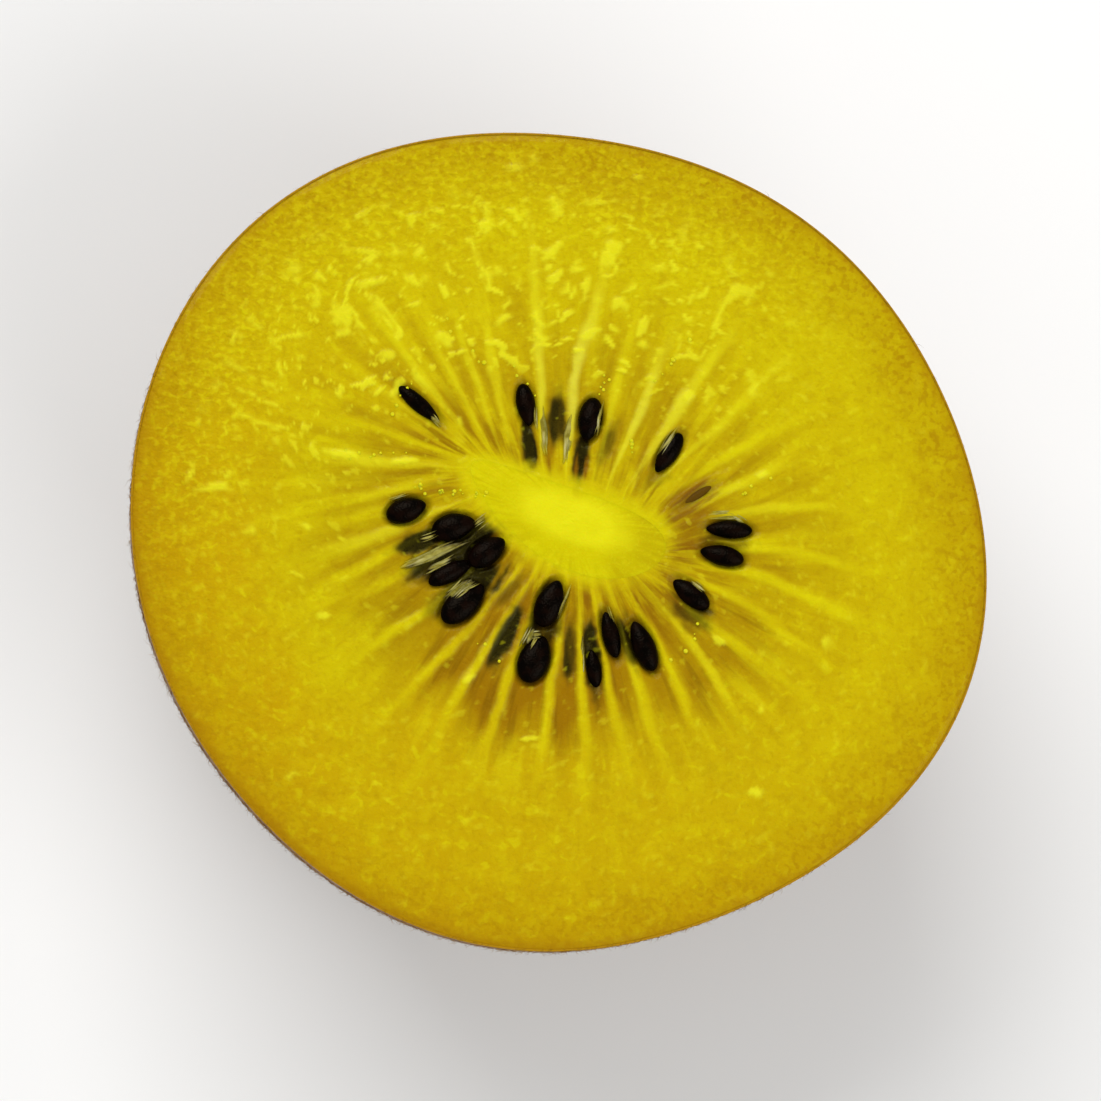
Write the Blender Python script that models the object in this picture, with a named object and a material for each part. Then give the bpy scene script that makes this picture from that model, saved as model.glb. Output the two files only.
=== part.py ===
"""Half of a golden kiwi fruit, cut across its middle and lying on its stem end with the cut face up.

The model is in metres with +Z up. The origin is the middle of its footprint, at the level it rests on.
Three closed solids make the half: the thin brown skin, the golden flesh with its rays and seeds,
and the pale core that runs down the middle of the flesh.
"""

import math

import bmesh
import bpy
from mathutils import Matrix, Vector

MM = 0.001

# Driving dimensions of the half fruit
FACE_WIDTH = 52.0 * MM
HALF_LENGTH = 30.0 * MM
SKIN_THICKNESS = 0.7 * MM
CLEARANCE = 0.3 * MM
SHARP_EDGE = math.radians(40)

# Cross-section: a mean radius with slow swells, each with its lobe count, height and direction
MEAN_RADIUS = 25.5 * MM
SWELLS = (
    (2, 0.90 * MM, math.radians(-26)),
    (3, 0.29 * MM, math.radians(6)),
    (4, 0.20 * MM, math.radians(-26)),
    (5, 0.17 * MM, math.radians(-22)),
)

# Lengthwise profile: a blunt superellipse whose tip is cut flat where the fruit rests
BLUNTNESS = 2.4
TIP_BEYOND_FLAT = 0.5 * MM
STEM_END_THICKNESS = 1.8 * MM
SIDE_RINGS = 12

# Stem scar: a shallow dimple with a woody button in it
SCAR_RADIUS = 3.4 * MM
SCAR_DEPTH = 0.9 * MM
BUTTON_RADIUS = 1.7 * MM
BUTTON_FOOT = 2.1 * MM
BUTTON_HEIGHT = 0.4 * MM

# Core: a column with an egg-shaped, slightly bent section, which narrows towards the upper left.
# Each of CORE_LEVELS is a share of its depth, and CORE_CROWN_SHAPE is shares of its size and height.
CORE_CENTRE = Vector((0.45 * MM, 1.9 * MM, 0.0))
CORE_LENGTH = 12.9 * MM
CORE_WIDTH = 4.6 * MM
CORE_EGG = 0.3
CORE_BEND = 1.0 * MM
CORE_ANGLE = math.radians(-25)
CORE_DEPTH = 21.0 * MM
CORE_LEVELS = (0.0, 0.4, 0.75, 0.93)
CORE_CROWN = 0.3 * MM
CORE_CROWN_SHAPE = ((0.6, 0.8), (0.0, 1.0))
CORE_CLEARANCE = 0.4 * MM

# Rays: low radial ribs of the flesh, between the seed pockets. They start and end at a share of the
# way from the core to the skin, and leave the core a little clockwise of the way they point.
RAY_COUNT = 36
RAY_HEIGHT = 0.3 * MM
RAY_START, RAY_END = 0.03, 0.66
RAY_FULLNESS = 0.7
RAY_LEAN = math.radians(12)
FACE_RINGS = 9

# Seeds, as they lie on the cut: x and y of the middle, length and width in mm, direction in degrees
SEEDS = (
    (-8.55, 8.20, 2.7, 1.0, -40),
    (-2.06, 8.10, 2.5, 1.2, -82),
    (1.81, 7.35, 2.6, 1.4, 74),
    (6.60, 5.45, 2.8, 1.2, 49),
    (8.25, 2.75, 2.2, 0.9, 29),
    (10.20, 0.80, 2.6, 1.2, 3),
    (9.80, -0.95, 2.6, 1.2, -17),
    (7.95, -3.20, 2.6, 1.4, -40),
    (5.05, -6.40, 3.1, 1.4, -64),
    (3.00, -5.80, 2.7, 1.1, -72),
    (1.65, -8.00, 2.3, 1.0, -82),
    (-0.70, -3.85, 2.9, 1.6, 67),
    (-1.65, -7.25, 2.8, 1.7, 62),
    (-5.90, -3.95, 2.9, 1.5, 41),
    (-4.45, -0.60, 2.5, 1.5, 34),
    (-7.00, -2.05, 2.6, 1.1, 27),
    (-6.40, 1.00, 2.7, 1.5, 14),
    (-9.45, 1.80, 2.5, 1.6, 17),
)
SEED_THICKNESS = 1.3 * MM
SEED_SINK = 0.15 * MM

# Sides of each round form
SKIN_SEGMENTS = 60
FLESH_SEGMENTS = 3 * RAY_COUNT
CORE_SEGMENTS = 36
SEED_SEGMENTS, SEED_RINGS = 10, 6


def outline(angle):
    """The fruit's radius at the cut, in that direction from its axis."""
    return MEAN_RADIUS + sum(
        swell * math.cos(lobes * (angle - peak)) for lobes, swell, peak in SWELLS
    )


def direction(angle):
    return Vector((math.cos(angle), math.sin(angle), 0.0))


def footprint():
    """(scale, middle) that make the outline FACE_WIDTH wide, with its box centred on the origin."""
    points = [direction(math.radians(a)) * outline(math.radians(a)) for a in range(360)]
    low = Vector(map(min, *points))
    high = Vector(map(max, *points))
    scale = FACE_WIDTH / (high.x - low.x)
    return scale, (low + high) * (-0.5 * scale)


OUTLINE_SCALE, AXIS = footprint()


def body_ring(inset, share, height):
    """A ring of the round body: the outline less an inset, shrunk to a share of its size."""

    def point(angle):
        radius = (OUTLINE_SCALE * outline(angle) - inset) * share
        return AXIS + direction(angle) * radius + Vector((0, 0, height))

    return point


def plain_ring(radius, height):
    """A round ring about the fruit's axis."""
    return lambda angle: AXIS + direction(angle) * radius + Vector((0, 0, height))


def side_rings(inset, tip_depth, lowest):
    """Rings up the fruit's side, from just above the height lowest to the cut face."""
    low_angle = math.asin(((HALF_LENGTH - lowest) / tip_depth) ** (BLUNTNESS / 2))
    rings = []
    for step in range(SIDE_RINGS + 1):
        turn = low_angle * (1 - step / SIDE_RINGS)
        share = math.cos(turn) ** (2 / BLUNTNESS)
        depth = tip_depth * math.sin(turn) ** (2 / BLUNTNESS)
        rings.append(body_ring(inset, share, HALF_LENGTH - depth))
    return rings


def core_point(angle, grow):
    """A point of the core's egg-shaped section, grown outwards by that much."""
    turn = angle - CORE_ANGLE
    along = (CORE_LENGTH / 2 + grow) * math.cos(turn)
    across = (CORE_WIDTH / 2 + grow) * math.sin(turn) * (1 + CORE_EGG * math.cos(turn))
    across -= CORE_BEND * math.sin(turn) ** 2
    return CORE_CENTRE + Matrix.Rotation(CORE_ANGLE, 3, "Z") @ Vector((along, across, 0))


def core_ring(grow, share, height, lean=0.0):
    """A ring of the core's section, shrunk to a share of its size about its middle."""

    def point(angle):
        at = CORE_CENTRE.lerp(core_point(angle - lean, grow), share)
        return at + Vector((0, 0, height))

    return point


def core_side(grow, depth, lean):
    """Rings down a column of the core's section, from the cut face to the rounded tip."""
    sections = [(math.sqrt(1 - level**2), HALF_LENGTH - level * depth) for level in CORE_LEVELS]
    sections.append((0.0, HALF_LENGTH - depth))
    return [core_ring(grow, share, height, lean) for share, height in sections]


def face_ring(share):
    """A ring of the cut face, from the core's pocket (0) to the skin (1), with the rays as ribs."""
    rim = body_ring(SKIN_THICKNESS + CLEARANCE, 1.0, HALF_LENGTH)
    zone = (share - RAY_START) / (RAY_END - RAY_START)
    swell = RAY_HEIGHT * math.sin(math.pi * min(1.0, max(0.0, zone))) ** RAY_FULLNESS

    def point(angle):
        at = core_point(angle - RAY_LEAN, CORE_CLEARANCE)
        at.z = HALF_LENGTH
        at = at.lerp(rim(angle), share)
        at.z += swell * math.cos(RAY_COUNT * angle)
        return at

    return point


def material(name, colour, roughness):
    made = bpy.data.materials.new(name)
    made.use_nodes = True
    shader = made.node_tree.nodes["Principled BSDF"]
    shader.inputs["Base Color"].default_value = (*colour, 1.0)
    shader.inputs["Roughness"].default_value = roughness
    shader.inputs["Metallic"].default_value = 0.0
    made.diffuse_color = (*colour, 1.0)
    return made


def reshaped_sphere(name, collection, segments, rings, finish):
    """A closed solid from a UV sphere whose rings, from the lower pole up, go where rings say."""
    bands = len(rings) - 1
    form = bmesh.new()
    bmesh.ops.create_uvsphere(form, u_segments=segments, v_segments=bands, radius=1.0)
    for vert in form.verts:
        unit = vert.co.normalized()
        band = round(bands * (1 - math.acos(max(-1.0, min(1.0, unit.z))) / math.pi))
        vert.co = rings[band](math.atan2(unit.y, unit.x))
    mesh = bpy.data.meshes.new(name)
    form.to_mesh(mesh)
    form.free()
    mesh.materials.append(finish)
    made = bpy.data.objects.new(name, mesh)
    collection.objects.link(made)
    return made


def make_skin(collection, finish):
    """The skin: a thin cup with the stem scar in the middle of the flat that it rests on."""
    scar = [
        plain_ring(0.0, SCAR_DEPTH - BUTTON_HEIGHT),
        plain_ring(BUTTON_RADIUS, SCAR_DEPTH - BUTTON_HEIGHT),
        plain_ring(BUTTON_FOOT, SCAR_DEPTH),
        plain_ring(SCAR_RADIUS, 0.0),
    ]
    outside = side_rings(0.0, HALF_LENGTH + TIP_BEYOND_FLAT, 0.0)
    inside = side_rings(SKIN_THICKNESS, HALF_LENGTH - STEM_END_THICKNESS, STEM_END_THICKNESS)
    rings = scar + outside + inside[::-1]
    skin = reshaped_sphere("skin", collection, SKIN_SEGMENTS, rings, finish)
    skin.data.shade_smooth()
    skin.data.set_sharp_from_angle(angle=SHARP_EDGE)
    return skin


def make_seed(collection, finish, x, y, length, width, degrees):
    """A flattened oval seed, more than half sunk in the flesh."""
    form = bmesh.new()
    bmesh.ops.create_uvsphere(form, u_segments=SEED_SEGMENTS, v_segments=SEED_RINGS, radius=0.5)
    bmesh.ops.rotate(form, verts=form.verts, matrix=Matrix.Rotation(math.pi / 2, 3, "Y"))
    bmesh.ops.scale(form, verts=form.verts, vec=(length * MM, width * MM, SEED_THICKNESS))
    bmesh.ops.rotate(form, verts=form.verts, matrix=Matrix.Rotation(math.radians(degrees), 3, "Z"))
    middle = Vector((x * MM, y * MM, HALF_LENGTH - SEED_SINK))
    bmesh.ops.translate(form, verts=form.verts, vec=middle)
    mesh = bpy.data.meshes.new("seed")
    form.to_mesh(mesh)
    form.free()
    mesh.materials.append(finish)
    collection.objects.link(bpy.data.objects.new("seed", mesh))


def join_seeds(flesh, finish):
    """Joins the seeds to the flesh with one union, and removes the loose ones."""
    loose = bpy.data.collections.new("seeds")
    bpy.context.scene.collection.children.link(loose)
    for seed in SEEDS:
        make_seed(loose, finish, *seed)
    union = flesh.modifiers.new("seeds", "BOOLEAN")
    union.operation = "UNION"
    union.operand_type = "COLLECTION"
    union.material_mode = "TRANSFER"
    union.collection = loose
    bpy.context.view_layer.update()
    joined = bpy.data.meshes.new_from_object(
        flesh.evaluated_get(bpy.context.evaluated_depsgraph_get())
    )
    flesh.modifiers.clear()
    flesh.data = joined
    for seed in list(loose.objects):
        bpy.data.objects.remove(seed)
    bpy.data.collections.remove(loose)


def make_flesh(collection, finish, seed_finish):
    """The flesh: a bowl-shaped body with rays on its face, seeds in it and a pocket for the core."""
    inset = SKIN_THICKNESS + CLEARANCE
    base = STEM_END_THICKNESS + CLEARANCE
    side = side_rings(inset, HALF_LENGTH - base, base)
    face = [face_ring(1 - step / FACE_RINGS) for step in range(1, FACE_RINGS + 1)]
    pocket = core_side(CORE_CLEARANCE, CORE_DEPTH + CLEARANCE, RAY_LEAN)[1:]
    flesh = reshaped_sphere("flesh", collection, FLESH_SEGMENTS, side + face + pocket, finish)
    join_seeds(flesh, seed_finish)
    flesh.data.shade_smooth()
    flesh.data.set_sharp_from_angle(angle=SHARP_EDGE)
    return flesh


def make_core(collection, finish):
    """The core: a tapering column whose low crown shows in the middle of the cut face."""
    side = core_side(0.0, CORE_DEPTH, 0.0)
    crown = [core_ring(0.0, share, HALF_LENGTH + CORE_CROWN * rise) for share, rise in CORE_CROWN_SHAPE]
    core = reshaped_sphere("core", collection, CORE_SEGMENTS, side[::-1] + crown, finish)
    core.data.shade_smooth()
    core.data.set_sharp_from_angle(angle=SHARP_EDGE)
    return core


def main():
    for old in list(bpy.data.objects):
        bpy.data.objects.remove(old)
    collection = bpy.data.collections.new("golden_kiwi_half")
    bpy.context.scene.collection.children.link(collection)
    make_skin(collection, material("skin", (0.18, 0.062, 0.016), 0.75))
    seed_finish = material("seed", (0.010, 0.005, 0.004), 0.25)
    make_flesh(collection, material("flesh", (0.60, 0.45, 0.01), 0.35), seed_finish)
    make_core(collection, material("core", (0.76, 0.70, 0.05), 0.40))


main()
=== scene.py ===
"""Looks of the half golden kiwi fruit: its skin, golden flesh, pale core, seeds, membranes and fuzz.

Lengths in this file are in millimetres unless a name says otherwise; meshes are made in metres.
The cut face lies level at the top of the fruit, and a direction on it is counter-clockwise from +X.
"""

import math

import bmesh
import bpy
import numpy as np
from mathutils import Matrix, Vector, noise


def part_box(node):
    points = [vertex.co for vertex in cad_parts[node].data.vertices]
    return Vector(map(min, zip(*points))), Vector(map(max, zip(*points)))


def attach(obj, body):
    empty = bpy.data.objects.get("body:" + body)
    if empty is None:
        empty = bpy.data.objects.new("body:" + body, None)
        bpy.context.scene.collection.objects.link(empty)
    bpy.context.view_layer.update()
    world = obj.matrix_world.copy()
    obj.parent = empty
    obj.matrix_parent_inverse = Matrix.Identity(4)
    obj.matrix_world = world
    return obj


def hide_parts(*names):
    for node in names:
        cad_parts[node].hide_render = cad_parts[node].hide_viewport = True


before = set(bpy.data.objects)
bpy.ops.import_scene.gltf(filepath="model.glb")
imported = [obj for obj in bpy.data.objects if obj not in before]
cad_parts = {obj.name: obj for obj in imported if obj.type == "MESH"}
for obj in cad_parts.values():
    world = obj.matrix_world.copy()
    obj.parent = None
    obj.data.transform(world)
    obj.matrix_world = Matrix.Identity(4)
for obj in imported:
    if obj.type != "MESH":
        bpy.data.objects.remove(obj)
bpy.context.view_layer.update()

MM = 0.001
BODY = "root"

# The half fruit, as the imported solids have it
FACE_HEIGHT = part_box("skin")[1].z / MM
FACE_WIDTH = (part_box("skin")[1].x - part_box("skin")[0].x) / MM
MEAN_RADIUS = 25.5
SWELLS = ((2, 0.90, -26), (3, 0.29, 6), (4, 0.20, -26), (5, 0.17, -22))
BLUNTNESS = 2.4
TIP_BEYOND_FLAT = 0.5
PEEL = 0.13

CORE_CENTRE = (0.45, 1.9)
CORE_LENGTH, CORE_WIDTH = 12.9, 4.6
CORE_EGG, CORE_BEND = 0.3, 1.0
CORE_ANGLE = math.radians(-25)
CORE_DEPTH = 21.0
CORE_CROWN = 0.12
# The brighter lens within the core: x, y, length, width, direction
CORE_LENS = (0.75, 1.35, 7.6, 3.1, -21)

# Stem scar, from its middle outwards: radius and height
SCAR = ((0.0, 0.62), (0.9, 0.55), (1.6, 0.42), (1.9, 0.75), (2.15, 0.92), (2.6, 0.6), (3.4, 0.0))

# Rays of the flesh. Each bends on its way from the core to the rim: its directions at three shares of
# that way, the share where it ends, its strength, its width and how creamy it is
RAY_STATIONS = (0.05, 0.30, 0.60)
RAYS = (
    (179.5, 179.5, 179.0, 0.45, 0.65, 0.80, 0.1),
    (168.0, 167.0, 165.5, 0.55, 0.75, 1.20, 0.2),
    (155.0, 155.0, 154.5, 0.60, 0.30, 0.60, 0.0),
    (142.5, 142.0, 142.0, 0.55, 0.50, 0.60, 0.1),
    (133.0, 130.0, 129.0, 0.70, 0.75, 0.80, 0.1),
    (124.0, 121.5, 119.5, 0.50, 0.70, 0.70, 0.1),
    (118.5, 114.5, 113.0, 0.65, 0.70, 0.60, 0.1),
    (112.0, 108.5, 104.5, 0.60, 0.75, 0.80, 0.1),
    (97.5, 95.2, 94.7, 0.75, 1.00, 0.90, 0.4),
    (86.8, 85.2, 80.8, 0.70, 1.00, 1.10, 0.9),
    (75.0, 73.4, 72.5, 0.62, 0.75, 0.70, 0.1),
    (68.0, 65.2, 63.3, 0.58, 1.00, 0.90, 0.5),
    (59.2, 55.6, 53.0, 0.68, 1.00, 1.05, 0.3),
    (50.5, 43.8, 40.6, 0.60, 0.75, 0.70, 0.1),
    (40.5, 34.6, 29.2, 0.60, 0.75, 0.75, 0.0),
    (31.0, 24.0, 20.5, 0.54, 0.90, 0.80, 0.1),
    (22.0, 14.0, 7.2, 0.66, 0.65, 0.75, 0.1),
    (6.0, 2.4, 2.8, 0.56, 0.40, 0.60, 0.0),
    (0.5, -0.5, -4.3, 0.74, 0.60, 0.90, 0.0),
    (-7.0, -10.4, -15.4, 0.76, 0.70, 1.10, 0.0),
    (-18.0, -21.3, -26.5, 0.56, 0.50, 0.80, 0.0),
    (-34.5, -34.4, -33.8, 0.68, 0.65, 1.00, 0.0),
    (-42.0, -44.5, -49.3, 0.62, 0.70, 0.80, 0.1),
    (-53.0, -55.2, -57.5, 0.60, 0.70, 0.70, 0.0),
    (-66.0, -66.4, -67.0, 0.64, 0.65, 0.90, 0.0),
    (-76.5, -76.4, -75.8, 0.74, 0.60, 0.75, 0.0),
    (-86.0, -85.3, -85.0, 0.70, 0.75, 0.85, 0.0),
    (-94.5, -95.5, -96.0, 0.68, 0.65, 0.80, 0.0),
    (-106.0, -107.5, -109.0, 0.68, 0.60, 0.80, 0.0),
    (-112.5, -118.2, -119.5, 0.76, 0.80, 0.75, 0.0),
    (-120.5, -127.0, -130.8, 0.80, 0.50, 0.75, 0.0),
    (-137.0, -139.3, -145.0, 0.74, 0.70, 0.80, 0.0),
    (-150.0, -153.0, -155.0, 0.50, 0.40, 0.60, 0.0),
    (-160.0, -160.5, -161.0, 0.60, 0.15, 0.60, 0.0),
    (-166.0, -167.3, -169.5, 0.60, 0.95, 1.00, 0.2),
    (-175.0, -174.0, -174.0, 0.50, 0.10, 0.60, 0.0),
)

# Seeds on the cut: x, y, length, width, direction, and how much of the seed stands free of the flesh
SEEDS = (
    (-8.57, 8.25, 3.2, 0.95, -41, 0.45),
    (-2.09, 8.25, 2.6, 1.15, -81, 0.55),
    (1.81, 7.38, 2.7, 1.45, 78, 0.70),
    (6.59, 5.39, 2.8, 1.15, 57, 0.55),
    (8.30, 2.80, 2.3, 0.55, 33, 0.08),
    (10.27, 0.73, 2.8, 1.10, -3, 0.60),
    (9.82, -0.85, 2.7, 1.25, -13, 0.75),
    (7.94, -3.20, 2.7, 1.30, -38, 0.45),
    (5.04, -6.38, 3.2, 1.40, -68, 0.80),
    (3.05, -5.70, 2.85, 1.05, -76, 0.75),
    (2.05, -7.75, 2.3, 0.90, -82, 0.30),
    (-0.67, -3.83, 3.0, 1.65, 68, 0.80),
    (-1.58, -7.20, 3.0, 1.90, 68, 0.80),
    (-5.89, -3.83, 3.3, 1.80, 42, 0.70),
    (-6.64, -1.95, 3.0, 1.15, 27, 0.45),
    (-4.46, -0.71, 2.6, 1.60, 35, 0.70),
    (-6.49, 0.79, 2.7, 1.65, 14, 0.75),
    (-9.35, 1.78, 2.5, 1.50, 18, 0.80),
)

# Dark seed pockets that the cut has opened: x, y, length, width, direction, strength
DARK_PATCHES = (
    (-0.20, 7.45, 3.8, 1.30, 86, 0.80),
    (-1.95, 5.85, 3.6, 0.95, 95, 0.96),
    (1.25, 5.10, 4.0, 1.00, 80, 0.93),
    (2.85, 5.90, 3.2, 0.90, 70, 0.55),
    (5.90, 4.20, 3.0, 1.20, 54, 0.48),
    (8.20, 2.75, 2.8, 0.80, 32, 0.55),
    (-8.30, 0.00, 3.6, 1.40, 22, 1.0),
    (-7.60, -1.40, 4.0, 1.70, 25, 0.95),
    (-5.90, -0.50, 5.4, 3.00, 28, 1.0),
    (-5.30, -2.60, 4.2, 2.60, 38, 1.0),
    (-3.30, -5.80, 4.4, 1.20, 64, 1.0),
    (-1.20, -5.60, 4.2, 2.20, 68, 0.80),
    (0.55, -6.70, 4.0, 1.00, 88, 0.80),
    (1.90, -7.10, 5.2, 1.20, -84, 1.0),
    (4.10, -6.10, 3.4, 1.10, -70, 0.85),
    (7.90, -4.10, 3.2, 2.20, -42, 0.75),
    (9.90, -0.10, 3.4, 1.70, -8, 0.60),
    (-7.00, -3.60, 4.0, 1.40, 38, 0.65),
    (-3.10, -3.10, 2.8, 0.80, 48, 0.55),
)

# Thin red-brown lines close to the core: x, y, length, width, direction, strength
RED_LINES = (
    (-0.63, 4.40, 1.8, 0.28, 94, 0.9),
    (0.95, 4.30, 2.0, 0.26, 86, 0.9),
    (1.55, 4.35, 1.8, 0.28, 82, 0.9),
    (-2.85, 5.40, 3.4, 0.45, 106, 0.6),
    (2.60, 4.30, 1.8, 0.26, 76, 0.7),
    (6.90, 2.80, 2.4, 0.50, 36, 0.6),
    (7.30, 2.20, 2.4, 0.40, 30, 0.5),
    (-2.30, -0.90, 1.8, 0.80, 48, 0.8),
    (-3.60, 0.40, 1.4, 0.60, 30, 0.7),
    (1.60, -3.50, 1.8, 0.55, -84, 0.7),
    (3.40, -3.60, 2.6, 0.90, -68, 0.45),
    (5.60, -3.40, 4.2, 1.90, -52, 0.75),
    (7.70, -0.60, 3.6, 2.20, -6, 0.90),
    (7.10, -2.30, 3.4, 1.80, -32, 0.85),
    (7.70, 1.40, 3.6, 1.70, 12, 0.75),
    (8.00, 3.15, 2.8, 0.34, 33, 1.0),
    (8.70, 2.45, 2.4, 0.30, 30, 0.9),
    (7.40, 2.55, 2.6, 0.30, 34, 0.9),
    (6.60, -1.50, 3.2, 0.40, -22, 0.9),
    (6.30, -3.00, 3.0, 0.40, -44, 0.9),
    (4.90, -4.10, 2.8, 0.36, -62, 0.8),
)

# Bright flecks of torn wet pulp that stand out by themselves, raised a little and painted pale as glints: x, y,
# length, width, direction
BIG_FLECKS_AND_GLINTS = (
    (11.90, -15.20, 1.1, 0.70, 5),
    (-21.10, 3.10, 2.2, 0.45, 8),
    (-22.40, 3.90, 1.0, 0.40, 62),
    (-2.80, 22.70, 1.2, 0.60, 12),
    (-1.60, 23.30, 0.9, 0.35, -20),
    (-8.60, 17.50, 1.0, 0.55, 50),
    (-12.00, 19.80, 1.6, 0.40, 30),
    (-11.60, 15.60, 2.0, 0.50, 10),
    (-8.90, 15.70, 1.4, 0.45, -30),
    (-0.50, 17.60, 1.6, 0.60, 45),
    (1.60, 15.60, 1.2, 0.45, 80),
    (3.50, 14.50, 1.2, 0.60, 40),
    (-13.20, 5.20, 2.4, 0.60, -8),
    (-9.40, 4.80, 1.8, 0.45, 4),
    (12.30, 4.10, 1.0, 0.40, 30),
    (7.80, 8.90, 0.9, 0.60, 50),
    (-14.30, -4.60, 1.0, 0.40, 10),
    (9.60, -6.00, 1.2, 0.50, -30),
    (-5.60, -8.40, 1.0, 0.45, 40),
    (-1.90, -12.00, 1.4, 0.35, 5),
)

# Pale films torn loose on and beside the seeds, each a broad band and finer ones beside it that drape
# over what is there: x, y, length, spread, direction, how many bands, half width of the first
MEMBRANES = (
    (-7.50, -0.75, 4.4, 0.60, 23, 3, 0.30),
    (-7.30, -1.45, 2.8, 0.40, 27, 3, 0.16),
    (-6.15, -3.00, 2.1, 0.85, 42, 6, 0.20),
    (-5.60, -2.75, 1.5, 0.60, 25, 4, 0.13),
    (-1.85, -5.95, 1.4, 0.80, 62, 6, 0.18),
    (-1.60, -5.75, 0.9, 0.50, 10, 3, 0.14),
    (10.00, 1.60, 2.2, 0.50, 2, 4, 0.20),
    (10.90, 1.35, 1.4, 0.40, -30, 3, 0.10),
    (6.40, 5.90, 2.4, 0.40, 57, 3, 0.10),
    (2.35, 7.40, 2.2, 0.30, 80, 3, 0.10),
    (-1.50, 7.60, 2.4, 0.20, 96, 2, 0.08),
    (0.15, -3.95, 2.8, 0.20, 68, 2, 0.08),
    (-7.55, 7.25, 0.9, 0.35, -45, 3, 0.12),
    (-4.80, 1.10, 1.4, 0.70, 38, 4, 0.09),
    (-0.95, 6.50, 3.8, 0.30, 94, 2, 0.22),
    (0.50, 6.10, 3.4, 0.35, 82, 2, 0.26),
    (-7.90, 0.25, 1.7, 0.50, 18, 3, 0.09),
    (3.00, -4.40, 1.3, 0.20, -74, 2, 0.07),
    (8.30, -2.70, 1.2, 0.45, -38, 3, 0.10),
    (-9.70, 2.65, 1.8, 0.20, 18, 2, 0.07),
    (1.35, -7.20, 3.2, 0.25, 86, 2, 0.12),
)

# Lines of small juice droplets: from x, y to x, y, and how many
DROPLET_LINES = (
    (-9.00, 3.10, -4.20, 2.70, 18),
    (2.70, 10.20, 2.40, 8.60, 6),
    (3.90, 6.30, 4.30, 5.20, 4),
    (-10.30, 7.80, -8.60, 10.40, 6),
    (-5.20, -5.90, -3.90, -7.60, 3),
    (8.60, -5.00, 6.90, -7.40, 5),
    (10.60, 2.60, 13.00, 4.20, 5),
    (-13.50, 5.00, -9.20, 5.40, 8),
    (-3.20, 11.40, -1.20, 8.40, 5),
    (-7.20, 13.40, -4.20, 10.20, 6),
    (5.60, 9.60, 8.40, 12.60, 6),
)


# Plain helpers for fields of numbers
def smooth(low, high, value):
    """Rises gently from 0 at low to 1 at high."""
    share = np.clip((value - low) / (high - low), 0.0, 1.0)
    return share * share * (3 - 2 * share)


def noise_at(points, size, seed, octaves=1):
    """Smooth noise, about -1 to 1, at points in mm, with features of about that size in mm."""
    shifted = (points / size + 31.7 * seed).reshape(-1, 3).tolist()
    values = [noise.fractal(point, 1.0, 2.0, octaves) for point in shifted]
    return np.array(values).reshape(points.shape[:-1])


def oval(x, y, centre_x, centre_y, length, width, degrees):
    """How far each point is from an oval's middle, as a share of its half length and half width."""
    turn = math.radians(degrees)
    along = (x - centre_x) * math.cos(turn) + (y - centre_y) * math.sin(turn)
    across = (y - centre_y) * math.cos(turn) - (x - centre_x) * math.sin(turn)
    return np.hypot(along / (length / 2), across / (width / 2))


def flat(x, y, z):
    """Points from their coordinates, which may be numbers or arrays."""
    return np.stack(np.broadcast_arrays(x, y, z), axis=-1).astype(float)


# The fruit's outline and the core's section
def outline(angle):
    swells = sum(swell * np.cos(lobes * (angle - math.radians(peak))) for lobes, swell, peak in SWELLS)
    return MEAN_RADIUS + swells


def footprint():
    """(scale, x, y): what makes the outline FACE_WIDTH wide, and the middle that centres its box."""
    angle = np.radians(np.arange(360))
    x, y = outline(angle) * np.cos(angle), outline(angle) * np.sin(angle)
    scale = FACE_WIDTH / (x.max() - x.min())
    return scale, -scale * (x.max() + x.min()) / 2, -scale * (y.max() + y.min()) / 2


OUTLINE_SCALE, AXIS_X, AXIS_Y = footprint()


def body_radius(angle):
    return OUTLINE_SCALE * outline(angle)


def core_edge(angle):
    """The core's edge where the ray that points in that direction leaves it, as x and y."""
    turn = angle - CORE_ANGLE
    turn = turn - np.radians(12 + 10 * np.cos(turn - math.radians(45)))
    along = CORE_LENGTH / 2 * np.cos(turn)
    across = CORE_WIDTH / 2 * np.sin(turn) * (1 + CORE_EGG * np.cos(turn)) - CORE_BEND * np.sin(turn) ** 2
    x = CORE_CENTRE[0] + along * math.cos(CORE_ANGLE) - across * math.sin(CORE_ANGLE)
    y = CORE_CENTRE[1] + along * math.sin(CORE_ANGLE) + across * math.cos(CORE_ANGLE)
    return x, y


# Meshes from rings of points
def ring_mesh(name, rings, start, end, masks=None):
    """A closed mesh over rings of points, in mm, from the start pole to the end pole."""
    count, columns = rings.shape[:2]
    points = np.concatenate([[start], rings.reshape(-1, 3), [end]]) * MM
    here = np.arange(columns)
    there = (here + 1) % columns
    faces = np.stack([0 * here, 1 + there, 1 + here], axis=1).tolist()
    for ring in range(count - 1):
        low = 1 + ring * columns
        high = low + columns
        faces += np.stack([low + here, low + there, high + there, high + here], axis=1).tolist()
    last = 1 + (count - 1) * columns
    faces += np.stack([last + here, last + there, 0 * here + len(points) - 1], axis=1).tolist()
    mesh = bpy.data.meshes.new(name)
    mesh.from_pydata(points.tolist(), [], faces)
    for label, values in (masks or {}).items():
        ends = (values[0].mean(axis=0), values[-1].mean(axis=0))
        if values.ndim == 3:
            layer = mesh.attributes.new(label, "FLOAT_VECTOR", "POINT")
            whole = np.concatenate([[ends[0]], values.reshape(-1, 3), [ends[1]]])
            layer.data.foreach_set("vector", whole.astype(np.float32).ravel())
        else:
            layer = mesh.attributes.new(label, "FLOAT", "POINT")
            whole = np.concatenate([[ends[0]], values.ravel(), [ends[1]]])
            layer.data.foreach_set("value", whole.astype(np.float32))
    mesh.shade_smooth()
    return mesh


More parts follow.
